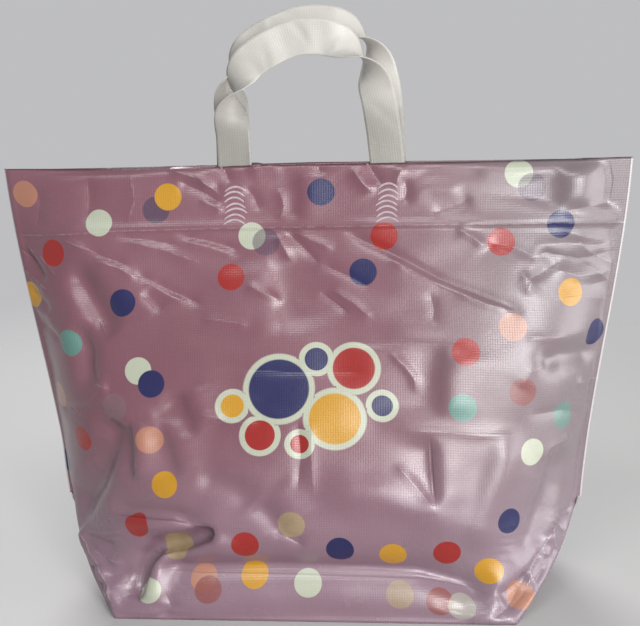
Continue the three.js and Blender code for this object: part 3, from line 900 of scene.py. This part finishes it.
def strap_line(side):
    """Evenly spaced stations along a handle in its own plane: place (x, up), turn and distance."""
    left, right = LEG_PLACE[side]
    more, spread = (REAR_EXTRA_RISE, REAR_SPREAD) if side == "rear" else (0, 1)
    spine = [(x * spread, up + more * float(smooth(up, 0, 60))) for x, up in STRAP_SPINE]
    line = np.array([(left, -STRAP_TUCK), (left, 0), *spine, (right, 0), (right, -STRAP_TUCK)])
    chord = distances_along(line)
    line = rounded(resampled(line, chord, np.linspace(0, chord[-1], STRAP_SAMPLES)))
    arc = distances_along(line)
    stations = np.linspace(0, arc[-1], int(arc[-1] / STRAP_PITCH) + 1)
    return resampled(line, arc, stations), strap_turn(stations, more), stations


def film_place(panel, u, v, at_u, at_v):
    """Points of a panel at flat coordinates, between its nearest grid points."""
    column = np.clip(np.searchsorted(u, at_u), 1, len(u) - 1)
    share = ((at_u - u[column - 1]) / (u[column] - u[column - 1]))[:, None]
    row = np.clip((PANEL_HEIGHT - at_v) / (v[0] - v[1]), 0, len(v) - 2)
    low = row.astype(int)
    part = (row - low)[:, None]
    upper, lower = [panel[line, column - 1] * (1 - share) + panel[line, column] * share
                    for line in (low, low + 1)]
    return upper * (1 - part) + lower * part


def handle_surface(side, panel, u, v):
    """The middle surface of one handle, facing the front, as a grid of stations and columns."""
    lean = math.radians(LEAN[side])
    line, turned, stations = strap_line(side)
    ahead = np.gradient(line, axis=0)
    ahead /= np.linalg.norm(ahead, axis=1, keepdims=True)
    offsets = np.linspace(-STRAP_WIDTH / 2, STRAP_WIDTH / 2, STRAP_COLUMNS + 1)
    up_plane = np.array([0, math.sin(lean), math.cos(lean)])
    forward = np.array([0, -math.cos(lean), math.sin(lean)])
    across = np.array([1.0, 0, 0])
    outward = -ahead[:, 1:2] * across + ahead[:, 0:1] * up_plane
    width = outward * np.cos(turned)[:, None] - forward * np.sin(turned)[:, None]
    face = np.cross(width, ahead[:, :1] * across + ahead[:, 1:] * up_plane)
    middle = line[:, :1] * across + line[:, 1:] * up_plane + [0, 0, MOUTH_HEIGHT]
    above = smooth(line[:, 1], CURL_FROM, CURL_TO)
    curl = STRAP_CURL * above[:, None] * (1 - (2 * offsets / STRAP_WIDTH) ** 2)
    surface = middle[:, None] + offsets[None, :, None] * width[:, None] + curl[..., None] * face[:, None]
    inward = (1 if side == "front" else -1) * (HEM_FILM_GAP + STRAP_HALF_THICKNESS + WELD_ROOM)
    for index, up in enumerate(line[:, 1]):
        at_v = np.full(len(offsets), PANEL_HEIGHT + min(up, 0))
        root = film_place(panel, u, v, surface[index, :, 0], at_v)
        foot = root[:, 1] + inward
        if up < 0:
            surface[index, :, 1:] = np.stack([foot, root[:, 2]], -1)
        else:
            held = 1 - smooth(up, LOOSE_FROM, LOOSE_TO)
            surface[index, :, 1] += foot * held + foot.mean() * (1 - held)
            surface[index, :, 2] += (root[:, 2] - MOUTH_HEIGHT) * held
    return surface, stations, offsets, line


def thickened(surface, half):
    """A closed skin round a middle surface: points of both faces and the quads round them."""
    rows, columns = surface.shape[:2]
    normals = film_normals(surface)
    points = np.concatenate([surface + normals * half, surface - normals * half]).reshape(-1, 3)
    front = grid_faces(rows, columns)
    index = np.arange(rows * columns).reshape(rows, columns)
    rim = np.concatenate([index[0, :-1], index[:-1, -1], index[-1, :0:-1], index[:0:-1, 0]])
    after = np.roll(rim, -1)
    back = rows * columns
    edge = np.stack([rim, after, after + back, rim + back], -1)
    return points, np.concatenate([front, front[:, ::-1] + back, edge])


def strap_wrinkles(stations, offsets, line, side):
    """Low waves and a few slanted folds on a handle, none of them below the mouth."""
    draws = np.random.default_rng(STRAP_SEEDS[side])
    along, across = np.meshgrid(stations, offsets, indexing="ij")
    relief = np.zeros(along.shape)
    for _ in range(STRAP_WRINKLES):
        place = draws.uniform(stations[0] + WRINKLE_MARGIN, stations[-1] - WRINKLE_MARGIN)
        slant = draws.uniform(-1.1, 1.1)
        size = draws.uniform(-0.7, 0.7)
        width = draws.uniform(2.5, 7)
        edge = draws.uniform(-15, 15)
        gap = np.abs(along - place - slant * across) / width
        relief += size * np.exp(-gap**2) * np.exp(-((across - edge) / WRINKLE_REACH) ** 2)
    return relief * smooth(line[:, 1], WRINKLES_FROM, WRINKLES_TO)[:, None]


def make_handle(side, panel, u, v):
    surface, stations, offsets, line = handle_surface(side, panel, u, v)
    surface += strap_wrinkles(stations, offsets, line, side)[..., None] * film_normals(surface)
    points, faces = thickened(surface, STRAP_HALF_THICKNESS)
    name = side + "_strap"
    strap = mesh_object(name, points, faces)
    flat = np.stack(np.meshgrid(offsets, stations), -1).reshape(-1, 2)
    add_flat_map(strap, "flat", np.concatenate([flat, flat])[faces] * MM)
    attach(strap, "root")
    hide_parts(side + "_handle")
    return strap


# The welds that hold the handles

WELD_ARCS = 7
WELD_PITCH = 4.9
WELD_TOP = 18.5  # below the mouth
WELD_SPAN = 9.5  # half of an arc's width
WELD_CROWN = 4.5  # how far an arc's middle stands above its ends
WELD_RADIUS = 1.0
WELD_FLATNESS = 0.7  # a bead's height over its half width
WELD_SUNK = 0.15  # how deep a bead sits in the film
WELD_TIP = 0.97  # share of a bead's cross-section that is lost at its ends
SLOPE_REACH = 2.0  # distance to each side at which the film's slope is taken
WELD_STEPS, WELD_SIDES = 22, 7
WELD_SEED = 5


def weld_arc(panel, u, v, middle, top, span):
    """One raised weld, as a half-round bead that follows an arc on the film."""
    t = np.linspace(-1, 1, WELD_STEPS)
    at_u = middle + span * t
    at_v = top - WELD_CROWN * t**2
    place = film_place(panel, u, v, at_u, at_v)
    left, right = [film_place(panel, u, v, at_u + step, at_v) for step in (-SLOPE_REACH, SLOPE_REACH)]
    below, above = [film_place(panel, u, v, at_u, at_v + step) for step in (-SLOPE_REACH, SLOPE_REACH)]
    normal = np.cross(right - left, above - below)
    normal /= np.linalg.norm(normal, axis=1, keepdims=True)
    along = np.gradient(place, axis=0)
    along /= np.linalg.norm(along, axis=1, keepdims=True)
    beside = np.cross(along, normal)
    swell = (WELD_RADIUS * np.sqrt(np.clip(1 - WELD_TIP * t**4, 1 - WELD_TIP, 1)))[:, None, None]
    turn = np.linspace(-np.pi / 2, np.pi / 2, WELD_SIDES)[None, :, None]
    up = WELD_FLATNESS * np.cos(turn) * normal[:, None]
    return place[:, None] + swell * (np.sin(turn) * beside[:, None] + up) - WELD_SUNK * normal[:, None]


def make_welds(side, panel, u, v, draws):
    points, faces, count = [], [], 0
    for leg in LEG_PLACE[side]:
        for arc in range(WELD_ARCS):
            below = WELD_TOP + arc * WELD_PITCH + draws.uniform(-0.5, 0.5)
            middle = leg + draws.uniform(-0.8, 0.8)
            span = WELD_SPAN * draws.uniform(0.92, 1.08)
            bead = weld_arc(panel, u, v, middle, PANEL_HEIGHT - below, span)
            quads = grid_faces(*bead.shape[:2])[:, ::-1]
            points.append(bead.reshape(-1, 3))
            faces.append(quads + count)
            count += len(points[-1])
    welds = mesh_object(side + "_welds", np.concatenate(points), np.concatenate(faces))
    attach(welds, "root")
    return welds


# Materials

class Nodes:
    """A material's nodes, made with short calls."""

    def __init__(self, name):
        self.material = bpy.data.materials.new(name)
        self.material.use_nodes = True
        self.tree = self.material.node_tree
        self.shader = self.tree.nodes["Principled BSDF"]

    def add(self, kind, inputs=None, **settings):
        node = self.tree.nodes.new("ShaderNode" + kind)
        for key, value in settings.items():
            setattr(node, key, value)
        for key, value in (inputs or {}).items():
            self.set(node.inputs[key], value)
        return node

    def set(self, socket, value):
        if isinstance(value, bpy.types.NodeSocket):
            self.tree.links.new(value, socket)
        else:
            socket.default_value = value

    def math(self, operation, a, b=0.0):
        return self.add("Math", {0: a, 1: b}, operation=operation).outputs[0]

    def uv(self, name):
        return self.add("UVMap", uv_map=name).outputs[0]

    def parts(self, vector):
        return self.add("SeparateXYZ", {0: vector}).outputs[:]

    def noise(self, vector, scale, detail=2.0):
        return self.add("TexNoise", {"Vector": vector, "Scale": scale, "Detail": detail}).outputs["Fac"]

    def ramp(self, value, low, high, to_low=0.0, to_high=1.0):
        inputs = {"Value": value, "From Min": low, "From Max": high, "To Min": to_low, "To Max": to_high}
        return self.add("MapRange", inputs, interpolation_type="SMOOTHSTEP").outputs["Result"]

    def mix(self, amount, a, b):
        node = self.add("Mix", data_type="RGBA")
        self.set(node.inputs[0], amount)
        self.set(node.inputs[6], a)
        self.set(node.inputs[7], b)
        return node.outputs[2]

    def bump(self, height, distance, strength=1.0, normal=None):
        inputs = {"Height": height, "Distance": distance, "Strength": strength}
        if normal is not None:
            inputs["Normal"] = normal
        return self.add("Bump", inputs).outputs[0]


def colour_of(sample):
    """A node's colour from red, green and blue as they are seen, out of 255."""
    return (*linear(sample), 1.0)


FILM_COLOUR = (118, 72, 84)
FILM_PALE = (136, 93, 104)
# Painted sheen: the lilac towards the bottom and the grey towards +X are paler veils of reflected light
# painted into the film's colour, not the film's own tint.
PAINTED_SHEEN_LILAC = (146, 124, 138)  # towards the bottom
PAINTED_SHEEN_GREY = (122, 112, 115)  # towards +X
PAINTED_SHEEN_GREY_RAMP = (0.02, 0.24, 0.0, 0.88)  # metres towards +X from where to where, and its share from and to
PAINTED_SHEEN_LILAC_RAMP = (0.30, 0.13, 0.0, 0.6)  # the same, by metres from the gusset's middle
WORN_COLOUR = (214, 200, 204)  # the rubbed ridge of a sharp fold
RIM_COLOUR = (226, 220, 218)  # the outermost film of the side welds
RIM_RAMP = (BAG_HALF - 1.6, BAG_HALF - 1.1)
WELD_COLOUR, WELD_SHADE = (200, 186, 190), (164, 138, 144)
INSIDE_COLOUR = (206, 200, 200)
FILM_GLOSS = {
    "IOR": 1.5, "Specular IOR Level": 0.5, "Coat Weight": 0.8, "Coat Roughness": 0.34, "Coat IOR": 1.5}
STRAP_COLOUR = (206, 204, 198)
STRAP_SHADE = (184, 179, 171)
# Painted shade: the straps' legs darken towards their ends, standing in for the shade they fall in.
PAINTED_LEG_SHADE = (134, 131, 124)  # towards the ends
EMBOSS_PITCH = 2.1


def emboss(nodes, flat):
    """The film's fine square pattern: a small pillow in each cell."""
    turns = 2 * math.pi / (EMBOSS_PITCH * MM)
    waves = [nodes.math("SINE", nodes.math("MULTIPLY", part, turns)) for part in nodes.parts(flat)[:2]]
    return nodes.math("MULTIPLY", nodes.math("ADD", *waves), 0.5)


def film_colour_with_painted_sheen(nodes, flat, across, along):
    """The film's colour: its own mottled tone, under painted sheen, a greyer veil towards +X and a lilac
    one towards the bottom that stand in for reflected light.
    """
    mottle = nodes.ramp(nodes.noise(flat, 9.0, 3.0), 0.3, 0.7, 0.0, 0.5)
    colour = nodes.mix(mottle, colour_of(FILM_COLOUR), colour_of(FILM_PALE))
    # painted sheen: greyer towards +X
    colour = nodes.mix(nodes.ramp(across, *PAINTED_SHEEN_GREY_RAMP), colour, colour_of(PAINTED_SHEEN_GREY))
    # painted reflection: lilac towards the bottom
    from_gusset = nodes.math("ABSOLUTE", nodes.math("SUBTRACT", along, (PANEL_HEIGHT + GUSSET_HALF) * MM))
    return nodes.mix(nodes.ramp(from_gusset, *PAINTED_SHEEN_LILAC_RAMP), colour, colour_of(PAINTED_SHEEN_LILAC))


def with_print(nodes, colour):
    """The two layers of discs of ink over a colour."""
    for name in ("under", "over"):
        place = nodes.uv(name + "_place")
        reach = nodes.add("VectorMath", {0: place}, operation="LENGTH").outputs["Value"]
        ink = nodes.add("Attribute", attribute_name=name + "_ink")
        amount = nodes.math("MULTIPLY", nodes.ramp(reach, 1.03, 0.97), ink.outputs["Alpha"])
        colour = nodes.mix(amount, colour, ink.outputs["Color"])
    return colour


def with_wear(nodes, colour, flat, gap, strength):
    """Rubbed film along the ridges of the sharp folds, here and there."""
    worn = nodes.math("MULTIPLY", nodes.ramp(gap, 0.8, 0.2), nodes.math("MAXIMUM", strength, 0.0))
    patches = nodes.ramp(nodes.noise(flat, 140.0, 2.0), 0.35, 0.65, 0.0, 0.4)
    return nodes.mix(nodes.math("MULTIPLY", worn, patches), colour, colour_of(WORN_COLOUR))


def with_rim(nodes, colour, across):
    """The pale outer edges of the side welds over a colour."""
    rim = nodes.ramp(nodes.math("ABSOLUTE", across), *(edge * MM for edge in RIM_RAMP))
    return nodes.mix(nodes.math("MULTIPLY", rim, 0.7), colour, colour_of(RIM_COLOUR))


def film_material():
    nodes = Nodes("printed_film")
    flat = nodes.uv("flat")
    across, along = nodes.parts(flat)[:2]
    from_crease, strength = nodes.parts(nodes.uv("crease_place"))[:2]
    gap = nodes.math("ABSOLUTE", from_crease)
    colour = with_print(nodes, film_colour_with_painted_sheen(nodes, flat, across, along))
    colour = with_rim(nodes, with_wear(nodes, colour, flat, gap, strength), across)
    backing = nodes.add("NewGeometry").outputs["Backfacing"]
    nodes.set(nodes.shader.inputs["Base Color"], nodes.mix(backing, colour, colour_of(INSIDE_COLOUR)))
    rough = nodes.ramp(nodes.noise(flat, 30.0, 4.0), 0.2, 0.8, 0.20, 0.30)
    nodes.set(nodes.shader.inputs["Roughness"], rough)
    for name, value in FILM_GLOSS.items():
        nodes.shader.inputs[name].default_value = value
    ripple = nodes.bump(nodes.noise(flat, 60.0, 3.0), 0.0010, 0.3, nodes.bump(emboss(nodes, flat), 0.00005))
    ridge = nodes.math("MULTIPLY", nodes.ramp(gap, 1.9, 0.0), strength)
    nodes.set(nodes.shader.inputs["Normal"], nodes.bump(ridge, 0.0005, 1.0, ripple))
    return nodes.material


def strap_material():
    nodes = Nodes("strap_film")
    flat = nodes.uv("flat")
    mottle = nodes.noise(flat, 25.0, 3.0)
    colour = nodes.mix(mottle, colour_of(STRAP_COLOUR), colour_of(STRAP_SHADE))
    # painted shade: the legs darker below the arch, down towards the mouth
    up = nodes.parts(nodes.add("TexCoord").outputs["Object"])[2]
    leg = nodes.ramp(up, (MOUTH_HEIGHT + 85) * MM, (MOUTH_HEIGHT + 25) * MM, 0.0, 0.75)
    colour = nodes.mix(leg, colour, colour_of(PAINTED_LEG_SHADE))
    nodes.set(nodes.shader.inputs["Base Color"], colour)
    nodes.set(nodes.shader.inputs["Roughness"], nodes.ramp(mottle, 0.2, 0.8, 0.34, 0.48))
    fine = nodes.bump(emboss(nodes, flat), 0.00005)
    nodes.set(nodes.shader.inputs["Normal"], nodes.bump(nodes.noise(flat, 70.0, 3.0), 0.001, 0.25, fine))
    return nodes.material


def weld_material():
    nodes = Nodes("weld_film")
    place = nodes.add("TexCoord").outputs["Object"]
    colour = nodes.mix(nodes.noise(place, 300.0), colour_of(WELD_COLOUR), colour_of(WELD_SHADE))
    nodes.set(nodes.shader.inputs["Base Color"], colour)
    nodes.shader.inputs["Roughness"].default_value = 0.3
    return nodes.material


# Floor and light

FLOOR_COLOUR, FLOOR_SHADE = (206, 205, 203), (200, 199, 197)
FLOOR_FADE, FLOOR_REACH = 0.4, 1.5  # metres from the bag over which the floor fades into the backdrop
WORLD_COLOUR, WORLD_STRENGTH = (0.86, 0.90, 1.0, 1), 0.18
BACKDROP_COLOUR = (190, 190, 192)
LAMP_AIM = (0, 0, 0.25)
# name, azimuth from the front to the right, elevation, distance, size and radiance
LAMPS = [
    ("key", 25, 10, 2.1, (1.6, 1.5), 3.7),
    ("side", 76, 2, 1.9, (1.5, 1.3), 3.4),
    ("window", 27, 17, 1.95, (0.34, 0.44), 17.0),
    ("top", -5, 52, 2.0, (1.2, 0.55), 4.8),
    ("rear", 200, 30, 2.4, (1.5, 1.2), 6.5),
]


def make_stage():
    nodes = Nodes("floor_paint")
    place = nodes.add("TexCoord").outputs["Object"]
    colour = nodes.mix(nodes.noise(place, 3.0), colour_of(FLOOR_COLOUR), colour_of(FLOOR_SHADE))
    nodes.set(nodes.shader.inputs["Base Color"], colour)
    nodes.shader.inputs["Roughness"].default_value = 0.6
    away = nodes.add("VectorMath", {0: place}, operation="LENGTH").outputs["Value"]
    clear = nodes.add("BsdfTransparent").outputs[0]
    fade = nodes.ramp(away, FLOOR_FADE, FLOOR_REACH)
    faded = nodes.add("MixShader", {0: fade, 1: nodes.shader.outputs[0], 2: clear})
    nodes.set(nodes.tree.nodes["Material Output"].inputs[0], faded.outputs[0])
    half = FLOOR_REACH / MM
    corners = np.array([[-half, -half, 0], [half, -half, 0], [half, half, 0], [-half, half, 0]])
    floor = mesh_object("floor", corners, np.array([[0, 1, 2, 3]]))
    floor.data.materials.append(nodes.material)


def add_lamp(name, azimuth, elevation, distance, size, radiance):
    """A soft lamp, placed by its direction from the bag in degrees."""
    azimuth, elevation = math.radians(azimuth), math.radians(elevation)
    level = math.cos(elevation)
    towards = Vector((math.sin(azimuth) * level, -math.cos(azimuth) * level, math.sin(elevation)))
    data = bpy.data.lights.new(name, "AREA")
    data.shape = "RECTANGLE"
    data.size, data.size_y = size
    data.energy = radiance * math.pi * size[0] * size[1]
    lamp = bpy.data.objects.new(name, data)
    bpy.context.scene.collection.objects.link(lamp)
    lamp.location = Vector(LAMP_AIM) + towards * distance
    lamp.rotation_euler = towards.to_track_quat("Z", "Y").to_euler()
    lamp.visible_camera = False


def make_world():
    """A dim even world. What the camera and clear or shiny surfaces see of it is the pale backdrop."""
    world = bpy.data.worlds.new("studio")
    world.use_nodes = True
    tree = world.node_tree
    dim, output = tree.nodes["Background"], tree.nodes["World Output"]
    dim.inputs[0].default_value = WORLD_COLOUR
    dim.inputs[1].default_value = WORLD_STRENGTH
    backdrop = tree.nodes.new("ShaderNodeBackground")
    backdrop.inputs[0].default_value = colour_of(BACKDROP_COLOUR)
    path, mix = tree.nodes.new("ShaderNodeLightPath"), tree.nodes.new("ShaderNodeMixShader")
    seen = path.outputs["Is Camera Ray"]
    for ray in ("Is Glossy Ray", "Is Transmission Ray"):
        either = tree.nodes.new("ShaderNodeMath")
        either.operation = "MAXIMUM"
        tree.links.new(seen, either.inputs[0])
        tree.links.new(path.outputs[ray], either.inputs[1])
        seen = either.outputs[0]
    tree.links.new(seen, mix.inputs[0])
    tree.links.new(dim.outputs[0], mix.inputs[1])
    tree.links.new(backdrop.outputs[0], mix.inputs[2])
    tree.links.new(mix.outputs[0], output.inputs[0])
    bpy.context.scene.world = world


def build():
    make_camera()
    make_stage()
    make_world()
    for lamp in LAMPS:
        add_lamp(*lamp)
    u, v = web_columns(), panel_rows()
    film, front, rear = make_film(u, v)
    film.data.materials.append(film_material())
    strap_look, weld_look = strap_material(), weld_material()
    draws = np.random.default_rng(WELD_SEED)
    for side, panel in (("front", front), ("rear", rear)):
        make_handle(side, panel, u, v).data.materials.append(strap_look)
        make_welds(side, panel, u, v, draws).data.materials.append(weld_look)
    bpy.context.scene.view_settings.view_transform = "Standard"


build()
